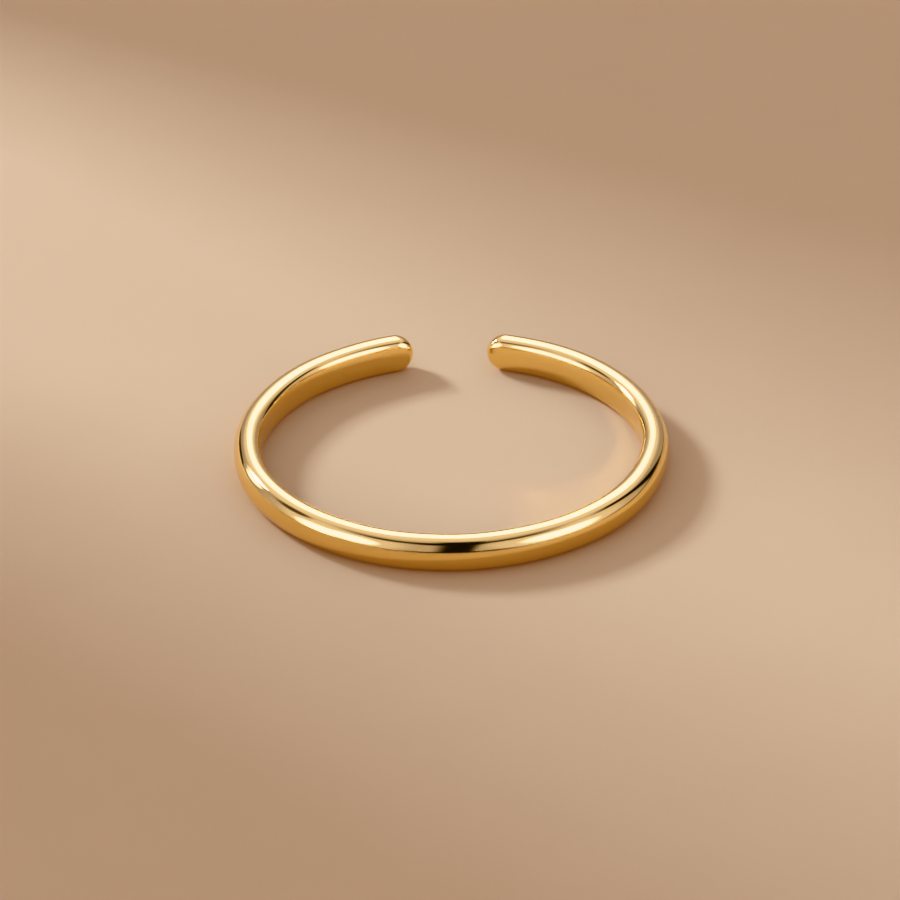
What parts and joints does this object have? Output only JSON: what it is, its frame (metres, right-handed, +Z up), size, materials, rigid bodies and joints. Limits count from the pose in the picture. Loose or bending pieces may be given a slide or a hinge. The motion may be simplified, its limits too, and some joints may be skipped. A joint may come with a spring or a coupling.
{
  "type": "open cuff ring",
  "caption": "Polished half-round wire finger ring, bent almost closed, with rounded tips on each side of a narrow gap.",
  "frame": {"origin": "on the surface that the ring lies on, below the middle of its outline", "axes": "+Z up along the axis of the bore, +Y from the closed side towards the gap, +X across the ring"},
  "size_m": [0.02, 0.0196, 0.0018],
  "materials": {
    "polished_gold": "high polish on the dome, edges and tips, slightly satin on the inner wall"
  },
  "bodies": {
    "root": {"cuff_band": "polished_gold"}
  },
  "joints": []
}
